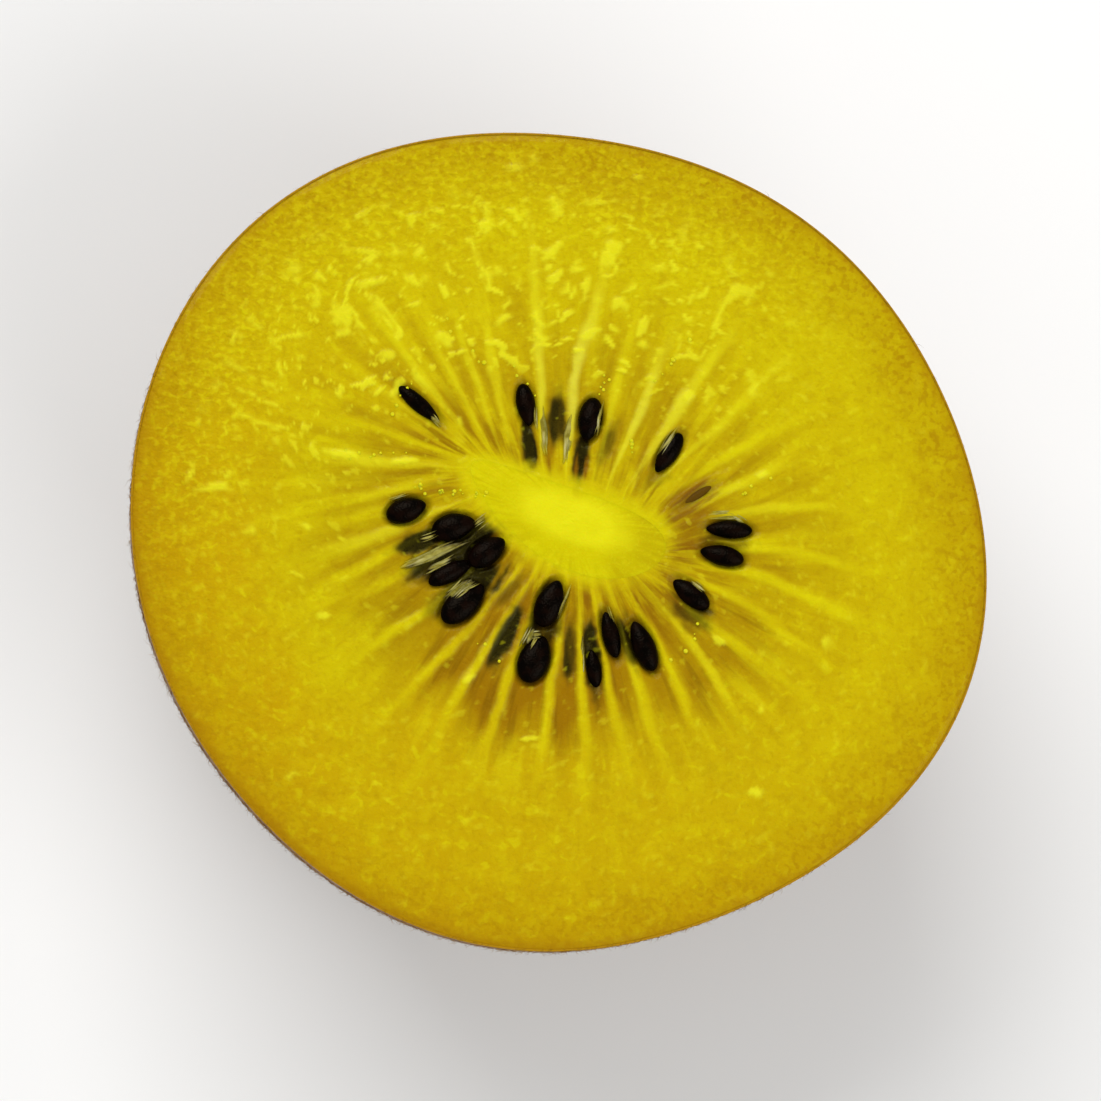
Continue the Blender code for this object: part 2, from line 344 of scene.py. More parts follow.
def bake_map(mesh, places, apex):
    """Lays the mesh out flat as its UV map. The apex, its far pole, is shared out to its triangles."""
    corners = np.empty(len(mesh.loops), dtype=int)
    mesh.loops.foreach_get("vertex_index", corners)
    spread = places[corners]
    tips = np.flatnonzero(corners == apex)
    step = 1 if apex == 0 else -1
    spread[tips] = (spread[tips + step] + spread[tips + 2 * step]) / 2
    layer = mesh.uv_layers.new(name="OFBake")
    layer.data.foreach_set("uv", spread.astype(np.float32).ravel())


def mark_sharp(mesh, degrees):
    mesh.set_sharp_from_angle(angle=math.radians(degrees))


def add_piece(name, mesh, look, slot, *nodes):
    """Shows the mesh as a piece of the fruit, in place of those solids."""
    piece = bpy.data.objects.new(name, mesh)
    bpy.context.scene.collection.objects.link(piece)
    mesh.materials.clear()
    mesh.materials.append(look)
    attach(piece, BODY)
    if nodes:
        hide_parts(*nodes)
    return piece


# Procedural materials
class Look:
    """A node material that ends in one Principled shader; fixed values sit on the shader itself."""

    def __init__(self, name, **fixed):
        self.material = bpy.data.materials.new(name)
        self.material.use_nodes = True
        self.tree = self.material.node_tree
        self.shader = self.tree.nodes["Principled BSDF"]
        for label, value in fixed.items():
            self.shader.inputs[label.replace("_", " ")].default_value = value

    def node(self, kind, inputs=(), **settings):
        made = self.tree.nodes.new(kind)
        for label, value in settings.items():
            setattr(made, label, value)
        for socket, value in dict(inputs).items():
            if isinstance(value, bpy.types.NodeSocket):
                self.tree.links.new(value, made.inputs[socket])
            else:
                made.inputs[socket].default_value = value
        return made

    def mask(self, name):
        return self.node("ShaderNodeAttribute", attribute_name=name).outputs["Fac"]

    def field(self, name):
        return self.node("ShaderNodeAttribute", attribute_name=name).outputs["Vector"]

    def place(self):
        """The point on the surface, in mm."""
        at = self.node("ShaderNodeTexCoord").outputs["Object"]
        return self.node("ShaderNodeVectorMath", {0: at, "Scale": 1 / MM}, operation="SCALE").outputs[0]

    def stretch(self, vector, factors):
        return self.node("ShaderNodeVectorMath", {0: vector, 1: factors}, operation="MULTIPLY").outputs[0]

    def noise(self, vector, size, detail=2.0, roughness=0.5, distortion=0.0):
        inputs = {"Vector": vector, "Scale": 1 / size, "Detail": detail, "Roughness": roughness}
        inputs["Distortion"] = distortion
        return self.node("ShaderNodeTexNoise", inputs).outputs["Fac"]

    def cells(self, vector, size, feature="F1", randomness=1.0):
        inputs = {"Vector": vector, "Scale": 1 / size, "Randomness": randomness}
        return self.node("ShaderNodeTexVoronoi", inputs, feature=feature).outputs["Distance"]

    def ramp(self, value, low, high, start=0.0, end=1.0):
        """Goes smoothly from start to end as value goes from low to high."""
        inputs = {"Value": value, "From Min": low, "From Max": high, "To Min": start, "To Max": end}
        return self.node("ShaderNodeMapRange", inputs, interpolation_type="SMOOTHSTEP").outputs["Result"]

    def math(self, operation, first, second):
        return self.node("ShaderNodeMath", {0: first, 1: second}, operation=operation).outputs[0]

    def times(self, first, *others):
        for other in others:
            first = self.math("MULTIPLY", first, other)
        return first

    def plus(self, first, *others):
        for other in others:
            first = self.math("ADD", first, other)
        return first

    def blend(self, share, first, second, mode="MIX"):
        mix = self.node("ShaderNodeMix", data_type="RGBA", blend_type=mode, clamp_factor=True)
        for index, value in ((0, share), (6, first), (7, second)):
            if isinstance(value, bpy.types.NodeSocket):
                self.tree.links.new(value, mix.inputs[index])
            else:
                mix.inputs[index].default_value = (*value, 1.0) if index else value
        return mix.outputs[2]

    def bump(self, height, distance, strength=1.0, over=None):
        """Relief from a height of 0 to 1, in mm, over an earlier normal if there is one."""
        inputs = {"Height": height, "Distance": distance * MM, "Strength": strength}
        if over is not None:
            inputs["Normal"] = over
        return self.node("ShaderNodeBump", inputs).outputs["Normal"]

    def wire(self, **outputs):
        for label, value in outputs.items():
            self.tree.links.new(value, self.shader.inputs[label.replace("_", " ")])
        return self.material


JUICE = (1.0, 0.90, 0.06, 1.0)
PULP_GLOW = (1.0, 0.62, 0.05)


def flesh_look():
    """Wet golden pulp: grain, fibres, pale rays, brown seed pockets and a deeper rim, with painted glints on the side
    towards the key light and painted shade along the lower-left rim.
    """
    look = Look(
        "golden_flesh",
        Subsurface_Weight=0.15,
        Subsurface_Radius=PULP_GLOW,
        Subsurface_Scale=0.45 * MM,
        IOR=1.38,
        Specular_Tint=JUICE,
        Specular_IOR_Level=0.3,
        Coat_Weight=0.05,
        Coat_Roughness=0.12,
    )
    place = look.place()
    fibre_place = look.field("fibre_place")
    inner = look.mask("inner")
    near = look.mask("near")
    ray = look.mask("ray")
    fleck_and_glint = look.mask("fleck_and_glint")
    pocket = look.mask("pocket")

    cloud = look.noise(place, 4.5, detail=3)
    mottle = look.noise(place, 1.3, detail=3)
    blotch = look.noise(place, 0.75, detail=1, distortion=0.8)
    grain = look.noise(place, 0.30, detail=3, roughness=0.6)
    fine = look.noise(place, 0.12, detail=2, roughness=0.6)
    fibre = look.noise(look.stretch(fibre_place, (0.6, 0.6, 0.6)), 1.0, detail=3, roughness=0.5)
    thread = look.noise(look.stretch(fibre_place, (0.85, 0.85, 0.7)), 1.0, detail=3, roughness=0.5)

    gold = look.blend(look.mask("warm"), (0.545, 0.450, 0.001), (0.500, 0.315, 0.001))
    gold = look.blend(look.ramp(cloud, 0.35, 0.70, 0.0, 0.5), gold, (0.490, 0.345, 0.001))
    gold = look.blend(look.ramp(mottle, 0.40, 0.75, 0.0, 0.35), gold, (0.600, 0.505, 0.002))
    gold = look.blend(look.ramp(blotch, 0.46, 0.28, 0.0, 0.30), gold, (0.400, 0.250, 0.001))
    gold = look.blend(look.ramp(blotch, 0.58, 0.74, 0.0, 0.45), gold, (0.620, 0.560, 0.003))
    gold = look.blend(look.ramp(grain, 0.50, 0.30, 0.0, 0.18), gold, (0.380, 0.240, 0.001))
    gold = look.blend(look.ramp(grain, 0.55, 0.75, 0.0, 0.22), gold, (0.660, 0.590, 0.004))
    shade = look.times(look.ramp(fibre, 0.42, 0.66), inner, 0.50)
    gold = look.blend(shade, gold, (0.400, 0.255, 0.001))
    shine = look.times(look.ramp(fibre, 0.46, 0.30), inner, 0.55)
    gold = look.blend(shine, gold, (0.620, 0.535, 0.003))
    gold = look.blend(look.times(pocket, 0.95), gold, (0.280, 0.130, 0.001))
    streak = look.times(pocket, look.ramp(thread, 0.48, 0.66, 0.0, 0.6))
    gold = look.blend(streak, gold, (0.170, 0.078, 0.001))
    root = look.noise(look.stretch(fibre_place, (0.42, 0.42, 0.9)), 1.0, detail=3, roughness=0.5)
    gold = look.blend(look.times(look.ramp(root, 0.46, 0.66), near, 0.75), gold, (0.240, 0.112, 0.001))
    gold = look.blend(look.times(look.ramp(root, 0.48, 0.34), near, 0.6), gold, (0.560, 0.460, 0.002))
    dark = look.mask("dark")
    gold = look.blend(look.ramp(dark, 0.0, 0.85, 0.0, 0.92), gold, (0.100, 0.054, 0.002))
    gold = look.blend(look.ramp(look.plus(dark, look.times(root, 0.8)), 0.85, 1.35), gold, (0.007, 0.004, 0.001))
    ray_colour = look.blend(look.mask("cream"), (0.645, 0.585, 0.002), (0.670, 0.630, 0.050))
    gold = look.blend(look.times(ray, look.ramp(mottle, 0.25, 0.6, 1.0, 0.8)), gold, ray_colour)
    red = look.times(look.mask("red"), look.ramp(root, 0.40, 0.58, 0.45, 1.0))
    gold = look.blend(red, gold, (0.215, 0.088, 0.002))
    gold = look.blend(look.times(look.mask("halo"), 0.85), gold, (0.600, 0.525, 0.002))
    # Painted glints: the flecks are painted pale yellow.
    gold = look.blend(look.times(fleck_and_glint, 0.8), gold, (0.720, 0.690, 0.014))
    # Painted wet shine: brighter specks with darker ones between, on the outer flesh towards the key light; the same
    # noise also gives a fine relief below.
    dew_and_glints = look.noise(look.stretch(place, (0.75, 1.0, 1.0)), 0.34, detail=1, distortion=0.2)
    shine_side = look.mask("shine_side")
    gold = look.blend(look.times(look.ramp(dew_and_glints, 0.52, 0.70), shine_side, 0.60), gold, (0.650, 0.590, 0.004))
    gold = look.blend(look.times(look.ramp(dew_and_glints, 0.46, 0.28), shine_side, 0.30), gold, (0.430, 0.295, 0.001))
    grains = look.times(look.ramp(look.noise(place, 0.36, detail=1), 0.50, 0.34), look.mask("deep"), 0.80)
    gold = look.blend(grains, gold, (0.390, 0.225, 0.001))
    gold = look.blend(look.mask("deep"), gold, (0.78, 0.62, 0.60), mode="MULTIPLY")
    # A darker rim: its thin edge is the flesh's own colour; the broader band at the lower left is painted shade.
    gold = look.blend(look.mask("rim"), gold, (0.355, 0.175, 0.002))

    rough = look.ramp(look.plus(grain, look.times(fleck_and_glint, -0.4)), 0.15, 0.75, 0.18, 0.46)
    normal = look.bump(fine, 0.02)
    normal = look.bump(grain, 0.06, over=normal)
    normal = look.bump(look.times(root, near), 0.10, over=normal)
    normal = look.bump(look.times(dew_and_glints, shine_side), 0.10, over=normal)
    return look.wire(Base_Color=gold, Roughness=rough, Normal=normal)


def core_look():
    """The smooth pale core, brightest along its middle."""
    look = Look(
        "pale_core",
        Subsurface_Weight=0.25,
        Subsurface_Radius=PULP_GLOW,
        Subsurface_Scale=0.6 * MM,
        IOR=1.38,
        Specular_Tint=JUICE,
    )
    place = look.place()
    cloud = look.noise(place, 1.1, detail=3)
    fine = look.noise(place, 0.16, detail=2)
    thread = look.noise(look.stretch(look.field("fibre_place"), (0.42, 0.42, 0.9)), 1.0, detail=3, roughness=0.5)
    edge = look.mask("edge")
    flank = look.blend(look.mask("far"), (0.575, 0.505, 0.001), (0.480, 0.390, 0.001))
    pale = look.blend(look.mask("middle"), flank, (0.690, 0.645, 0.006))
    pale = look.blend(look.ramp(cloud, 0.45, 0.75, 0.0, 0.30), pale, (0.620, 0.550, 0.002))
    pale = look.blend(look.ramp(fine, 0.5, 0.75, 0.0, 0.20), pale, (0.740, 0.700, 0.012))
    pale = look.blend(look.times(look.ramp(thread, 0.48, 0.64), edge, 0.28), pale, (0.400, 0.270, 0.001))
    bright_threads = look.times(look.ramp(thread, 0.48, 0.36), edge, look.ramp(look.mask("far"), 0.0, 1.0, 0.5, 0.15))
    pale = look.blend(bright_threads, pale, (0.640, 0.570, 0.003))
    normal = look.bump(fine, 0.03)
    normal = look.bump(cloud, 0.10, over=normal)
    return look.wire(Base_Color=pale, Roughness=look.ramp(fine, 0.3, 0.7, 0.34, 0.5), Normal=normal)


def seed_look():
    """A glossy purple-black seed coat with fine pits."""
    look = Look("seed_coat", IOR=1.45, Specular_IOR_Level=0.05, Specular_Tint=(1.0, 0.78, 0.58, 1.0))
    place = look.place()
    pits = look.cells(place, 0.13)
    cloud = look.noise(place, 0.6, detail=2)
    coat = look.blend(look.ramp(cloud, 0.4, 0.7), (0.0006, 0.0003, 0.0002), (0.004, 0.0010, 0.0004))
    coat = look.blend(look.mask("cover"), coat, (0.130, 0.064, 0.003))
    return look.wire(
        Base_Color=coat,
        Roughness=look.ramp(cloud, 0.3, 0.7, 0.20, 0.38),
        Normal=look.bump(look.ramp(pits, 0.0, 0.7), 0.015),
    )


def membrane_look():
    """Thin pale wet tissue: creamy along its folds, where the cream is a painted highlight, and what lies below shows
    at its thin edges.
    """
    look = Look(
        "membrane",
        Subsurface_Weight=0.4,
        Subsurface_Radius=(1.0, 0.8, 0.3),
        Subsurface_Scale=0.3 * MM,
        IOR=1.38,
        Specular_IOR_Level=0.3,
        Specular_Tint=(1.0, 0.95, 0.6, 1.0),
    )
    film_place = look.field("film_place")
    cloud = look.noise(look.stretch(film_place, (1.6, 0.5, 1.0)), 1.0, detail=3)
    folds = look.noise(look.stretch(film_place, (0.7, 1.1, 1.0)), 1.0, detail=2)
    pale = look.blend(look.ramp(cloud, 0.30, 0.70), (0.200, 0.165, 0.012), (0.410, 0.360, 0.080))
    # Painted highlight: the folds are painted a pale cream.
    pale = look.blend(look.ramp(folds, 0.50, 0.78, 0.0, 0.8), pale, (0.580, 0.540, 0.280))
    edge = look.blend(look.mask("below"), (0.400, 0.320, 0.004), (0.040, 0.028, 0.003))
    pale = look.blend(look.ramp(look.mask("thick"), 0.05, 0.85), edge, pale)
    return look.wire(
        Base_Color=pale,
        Roughness=look.ramp(cloud, 0.3, 0.7, 0.22, 0.38),
        Normal=look.bump(folds, 0.05),
    )


def droplet_look():
    """Clear golden juice."""
    look = Look("juice", IOR=1.34, Specular_Tint=JUICE, Subsurface_Weight=0.6, Subsurface_Radius=PULP_GLOW)
    look.shader.inputs["Subsurface Scale"].default_value = 0.3 * MM
    cloud = look.noise(look.place(), 0.8, detail=2)
    tint = look.blend(cloud, (0.60, 0.52, 0.004), (0.70, 0.65, 0.020))
    return look.wire(Base_Color=tint, Roughness=look.ramp(cloud, 0.3, 0.7, 0.06, 0.16))


def skin_look():
    """Red-brown peel: mottling, pale scurf, an olive cast towards the stem and a woody scar."""
    look = Look("bronze_peel", IOR=1.45, Specular_IOR_Level=0.3, Sheen_Weight=0.06, Sheen_Roughness=0.4)
    look.shader.inputs["Sheen Tint"].default_value = (0.90, 0.55, 0.25, 1.0)
    look.shader.inputs["Specular Tint"].default_value = (0.85, 0.50, 0.18, 1.0)
    place = look.place()
    broad = look.noise(place, 9.0, detail=3)
    mottle = look.noise(place, 1.8, detail=4, roughness=0.6)
    worms = look.noise(place, 0.55, detail=1, distortion=0.6)
    small_worms = look.noise(place, 0.34, detail=1, distortion=0.8)
    fine = look.noise(place, 0.22, detail=2)
    specks = look.cells(place, 0.75)

    brown = look.blend(look.ramp(broad, 0.30, 0.70), (0.085, 0.022, 0.004), (0.150, 0.046, 0.006))
    brown = look.blend(look.ramp(mottle, 0.45, 0.72, 0.0, 0.6), brown, (0.240, 0.088, 0.010))
    brown = look.blend(look.ramp(mottle, 0.42, 0.25, 0.0, 0.7), brown, (0.030, 0.008, 0.003))
    brown = look.blend(look.times(look.mask("olive"), 0.6), brown, (0.235, 0.150, 0.014))
    scurf = look.ramp(look.math("ABSOLUTE", look.math("SUBTRACT", worms, 0.5), 0.0), 0.040, 0.012)
    scurf = look.times(scurf, look.ramp(fine, 0.38, 0.56), look.ramp(mottle, 0.30, 0.55, 0.35, 0.95))
    brown = look.blend(scurf, brown, (0.460, 0.225, 0.040))
    small = look.ramp(look.math("ABSOLUTE", look.math("SUBTRACT", small_worms, 0.5), 0.0), 0.045, 0.015)
    small = look.times(small, look.ramp(mottle, 0.35, 0.60, 0.15, 0.7))
    brown = look.blend(small, brown, (0.330, 0.150, 0.022))
    freckle = look.times(look.ramp(specks, 0.22, 0.12), look.ramp(fine, 0.35, 0.55), 0.8)
    brown = look.blend(freckle, brown, (0.560, 0.340, 0.110))
    brown = look.blend(look.mask("scar"), brown, (0.040, 0.021, 0.011))
    brown = look.blend(look.mask("cut"), brown, (0.380, 0.205, 0.004))

    rough = look.ramp(mottle, 0.3, 0.7, 0.42, 0.62)
    normal = look.bump(look.plus(scurf, freckle), 0.05)
    normal = look.bump(mottle, 0.14, over=normal)
    normal = look.bump(fine, 0.05, over=normal)
    return look.wire(Base_Color=brown, Roughness=rough, Normal=normal)


def fuzz_look():
    """Short golden-brown hairs."""
    look = Look("golden_fuzz", Roughness=0.6, IOR=1.45, Specular_IOR_Level=0.3, Specular_Tint=(0.85, 0.50, 0.18, 1.0))
    tone = look.mask("tone")
    return look.wire(Base_Color=look.blend(tone, (0.15, 0.055, 0.008), (0.52, 0.29, 0.06)))


# Flesh
FLESH_COLUMNS = 512
FACE_RINGS = 168
INNER_CROWDING = 1.25
FLESH_SIDE_RINGS = 8
FLESH_ROUNDING = 0.07


def face_masks(x, y, angle, share, apart, inward):
    """What lies where on the cut face: one array for each mask, and the height above the cut.

    angle is the direction of each point's column of the mesh, share its share of the way along that
    column from the core to the rim, apart how far the columns run apart per radian, and inward the
    distance from the core's edge.
    """
    place = flat(x, y, 0.0)
    reach = np.hypot(x, y)
    sway = angle + 0.022 * noise_at(place, 4.0, 1) + 0.008 * noise_at(place, 1.1, 2)
    low_side = smooth(-0.6, 0.9, -(y * 0.80 + x * 0.42) / (reach + 3.0))
    ray = np.zeros_like(x)
    cream = np.zeros_like(x)
    nearest = np.full_like(x, 99.0)
    lumps = 1.0 + (0.15 + 0.9 * share * (1 - 0.6 * low_side)) * noise_at(place, 1.1, 3, 2)
    clear = (0.60 - 0.16 * low_side + 0.40 * smooth(0.12, 0.34, share)) * (1 - 0.34 * low_side)
    swelling = 1.0 + 0.35 * noise_at(place, 1.6, 26)
    for *bend, end, strength, width, creaminess in RAYS:
        off = sway - np.interp(share, RAY_STATIONS, np.radians(bend))
        side = np.abs((off + math.pi) % (2 * math.pi) - math.pi) * apart
        nearest = np.minimum(nearest, side)
        half = (0.05 + 0.25 * width * smooth(0.2, 7.5, inward)) * swelling
        profile = 1 - smooth(0.25 * half, 1.75 * half, side)
        fade = 1 - smooth(end - 0.30, end + 0.06, share)
        body = strength * clear * profile * np.clip(fade * lumps, 0, 1)
        pale = creaminess * smooth(0.02, 0.12, share) * (1 - 0.7 * smooth(0.30, 0.52, share))
        cream = np.where(body > ray, pale, cream)
        ray = np.maximum(ray, body)

    between = smooth(0.08, 0.24 + 0.030 * reach, nearest)
    plain_side = smooth(0.1, 1.0, np.cos(angle - math.radians(167)))
    turned = fibre_places(angle, reach)
    uneven = noise_at(turned * (0.30, 0.30, 0.9), 1.0, 4, 2)
    end = 0.44 + 0.02 * low_side + 0.10 * noise_at(turned * (0.22, 0.22, 0.0), 1.0, 15)
    pocket = between * (0.45 + 0.55 * smooth(0.02, 0.16, share)) * (1 - smooth(end - 0.13, end + 0.06, share))
    brownness = 0.45 + 0.40 * low_side + 0.38 * uneven + 0.20 * np.cos(angle - math.radians(218))
    pocket = np.clip(pocket * brownness, 0, 1) * (1 - 0.5 * plain_side)

    ragged = 1 + 0.22 * noise_at(place, 0.7, 5, 2) + 0.25 * noise_at(turned * (0.9, 0.9, 1.5), 1.0, 27)
    dark = np.zeros_like(x)
    for at_x, at_y, length, width, degrees, strength in DARK_PATCHES:
        span = oval(x, y, at_x, at_y, length, width, degrees) * ragged
        dark = np.maximum(dark, strength * (1 - smooth(0.45, 1.45, span)))
    red = np.zeros_like(x)
    for at_x, at_y, length, width, degrees, strength in RED_LINES:
        span = oval(x, y, at_x, at_y, length, width, degrees) * ragged
        red = np.maximum(red, strength * (1 - smooth(0.3, 1.3, span)))
    ray *= 1 - 0.75 * dark

    hollow = np.zeros_like(x)
    lip = np.zeros_like(x)
    for at_x, at_y, length, width, degrees, free in SEEDS:
        off = (oval(x, y, at_x, at_y, length, width, degrees) - 1) * width / 2
        hollow = np.maximum(hollow, free * (1 - smooth(-0.15, 0.45, off)))
        lip = np.maximum(lip, np.exp(-(((off - 0.22) / 0.14) ** 2)) * (1 - 0.6 * free))
        # A dark ring about each seed, darker the freer the seed stands: partly the dark gel of the seed pocket,
        # partly painted shade in the hollow about the seed.
        dark = np.maximum(dark, (0.35 + 0.4 * free) * (1 - smooth(-0.1, 0.34, off)))

    # Painted glints: pale flecks of slightly raised pulp, massed in a band on the side towards the key light and
    # fewest on the side away from it.
    fleck_and_glint = np.zeros_like(x)
    for at_x, at_y, length, width, degrees in BIG_FLECKS_AND_GLINTS:
        span = oval(x, y, at_x, at_y, length, width, degrees) * (1 + 0.5 * noise_at(place, 0.5, 6))
        fleck_and_glint = np.maximum(fleck_and_glint, 1 - smooth(0.5, 1.2, span))
    wet = smooth(-0.1, 1.0, np.cos(angle - math.radians(108))) * smooth(0.22, 0.42, share)
    wet *= 1 - smooth(0.74, 0.95, share)
    pulp = noise_at(flat(x * 0.8, y, 0.0), 1.35, 7)
    curl = 1 - smooth(0.03, 0.20, np.abs(pulp - 0.14))
    side_away_from_key = smooth(-0.3, 0.8, np.cos(angle - math.radians(300)))
    chosen = smooth(0.08, 0.50, noise_at(place, 1.4, 17, 2) + 0.50 * wet - 0.42 - 0.17 * side_away_from_key)
    dots = smooth(0.45, 0.60, noise_at(place, 0.42, 18))
    size = 0.80 + 0.22 * noise_at(place, 4.0, 24)
    chunk = smooth(0.34, 0.56, noise_at(flat(x * 0.75 / size, y / size, 3.0), 1.0, 19, 2))
    chunk *= smooth(0.15, 0.9, wet * (1 + 0.4 * ray) + 0.22 * noise_at(place, 2.5, 25))
    fleck_and_glint = np.maximum(fleck_and_glint, curl * chosen * smooth(6, 9, reach))
    fleck_and_glint = np.maximum(fleck_and_glint, np.maximum(dots * (0.3 + 0.6 * wet), chunk) * smooth(4, 8, reach))

    masks = {"ray": ray, "cream": cream, "pocket": pocket, "dark": dark, "red": red, "fleck_and_glint": fleck_and_glint}
    tip = np.cos(angle - CORE_ANGLE)
    masks["halo"] = (1 - smooth(0.0, 1.1, inward + 0.35 * noise_at(place, 0.6, 8))) * (1 - 0.75 * smooth(0.55, 0.95, tip))
    masks["inner"] = smooth(0.2, 1.2, inward) * (1 - smooth(0.45, 0.72, share))
    roots = smooth(0.1, 1.7, inward + 0.5 * noise_at(place, 0.8, 20))
    masks["near"] = roots * (1 - smooth(0.10, 0.38, share)) * (1 - dark)
    left = smooth(0.70, 1.0, np.cos(angle - math.radians(190)))
    warm = 0.42 + 0.38 * np.cos(angle - math.radians(247)) * np.clip(reach / 16, 0, 1)
    warm += 0.4 * left * smooth(17, 21, reach) - 0.75 * left * (1 - smooth(15, 19, reach))
    masks["warm"] = np.clip(warm, 0, 1)
    height = 0.05 * ray - 0.09 * pocket - 0.12 * dark - 0.22 * hollow + 0.10 * lip + 0.07 * fleck_and_glint
    height += 0.05 * noise_at(place, 6.0, 9) + 0.028 * noise_at(place, 0.55, 10, 2)
    return masks, height


def fibre_places(angle, reach):
    """Coordinates in which noise runs out in streaks along the rays, with no seam."""
    return flat(26 * np.cos(angle), 26 * np.sin(angle), reach * 0.32)


def make_flesh():
    angle = np.arange(FLESH_COLUMNS) * 2 * math.pi / FLESH_COLUMNS
    core_x, core_y = core_edge(angle)
    rim_radius = body_radius(angle) - PEEL
    rim_x, rim_y = AXIS_X + rim_radius * np.cos(angle), AXIS_Y + rim_radius * np.sin(angle)

    share = (np.linspace(1, 0, FACE_RINGS) ** INNER_CROWDING)[:, None]
    x = core_x + (rim_x - core_x) * share
    y = core_y + (rim_y - core_y) * share
    inward = np.hypot(x - core_x, y - core_y)
    outward = np.hypot(rim_x - x, rim_y - y)
    directions = np.broadcast_to(angle, x.shape)
    step_x, step_y = np.roll(x, -1, axis=1) - np.roll(x, 1, axis=1), np.roll(y, -1, axis=1) - np.roll(y, 1, axis=1)
    apart = np.hypot(step_x, step_y) / (2 * angle[1])
    masks, height = face_masks(x, y, directions, share, apart, inward)
    edge = flat(x, y, 0.0)
    inner_way = outward + 0.25 * noise_at(edge, 1.2, 11, 2)
    # The rim darkens all round in a thin band, the flesh's own amber edge, and over a broader band at the lower left,
    # which is painted shade.
    shaded_low_left = smooth(-0.2, 0.9, np.cos(directions - math.radians(215)))
    masks["rim"] = 0.45 * (1 - smooth(0.0, 0.6, inner_way)) + 0.30 * shaded_low_left * (1 - smooth(0.0, 1.9, inner_way))
    # Where the painted wet shine goes: the outer flesh on the side towards the key light.
    masks["shine_side"] = smooth(-0.2, 0.9, np.cos(directions - math.radians(112))) * smooth(0.50, 0.85, share)
    deepness = 0.55 + 0.10 * np.cos(directions - math.radians(20))
    masks["deep"] = deepness * (1 - smooth(0.2, 5.4, outward + 0.9 * noise_at(edge, 2.2, 29, 2)))
    height *= smooth(0.0, 0.5, outward) * smooth(0.0, 0.25, inward)
    height -= FLESH_ROUNDING * (1 - smooth(0.0, 0.45, outward))
    face = flat(x, y, FACE_HEIGHT + height)
    masks["fibre_place"] = fibre_places(directions, np.hypot(x, y))

    depth = np.linspace(0.93, 0.0, FLESH_SIDE_RINGS + 1)[:-1, None]
    narrowing = (1 - depth**BLUNTNESS) ** (1 / BLUNTNESS)
    side = flat(
        AXIS_X + rim_radius * narrowing * np.cos(angle),
        AXIS_Y + rim_radius * narrowing * np.sin(angle),
        FACE_HEIGHT - depth * (FACE_HEIGHT - 1.2),
    )
    levels = np.array([0.3, 0.65, 0.93])[:, None]
    shrink = np.sqrt(1 - levels**2)
    hole = flat(
        CORE_CENTRE[0] + (core_x - CORE_CENTRE[0]) * shrink,
        CORE_CENTRE[1] + (core_y - CORE_CENTRE[1]) * shrink,
        FACE_HEIGHT - levels * CORE_DEPTH,
    )
    rings = np.concatenate([side, face, hole])
    for label, values in masks.items():
        ends = (values[:1], values[-1:])
        masks[label] = np.concatenate(
            [np.repeat(ends[0], len(side), axis=0), values, np.repeat(ends[1], len(hole), axis=0)]
        )
    start = (AXIS_X, AXIS_Y, 2.0)
    end = (*CORE_CENTRE, FACE_HEIGHT - CORE_DEPTH)
    mesh = ring_mesh("flesh", rings, start, end, masks)

    span = FACE_WIDTH * 1.12
    spread_out = 1 + 0.012 * np.arange(len(side), 0, -1)[:, None, None]
    layout = np.concatenate([side[-1:, :, :2] * 0 + face[:1, :, :2] * spread_out, face[..., :2], hole[..., :2]])
    places = np.concatenate([[start[:2]], layout.reshape(-1, 2), [end[:2]]]) / span + 0.5
    bake_map(mesh, places, apex=0)
    mark_sharp(mesh, 50)
    return add_piece("flesh_pulp", mesh, flesh_look(), "flesh", "flesh")


# Core
CORE_COLUMNS = 256
CORE_RINGS = 40


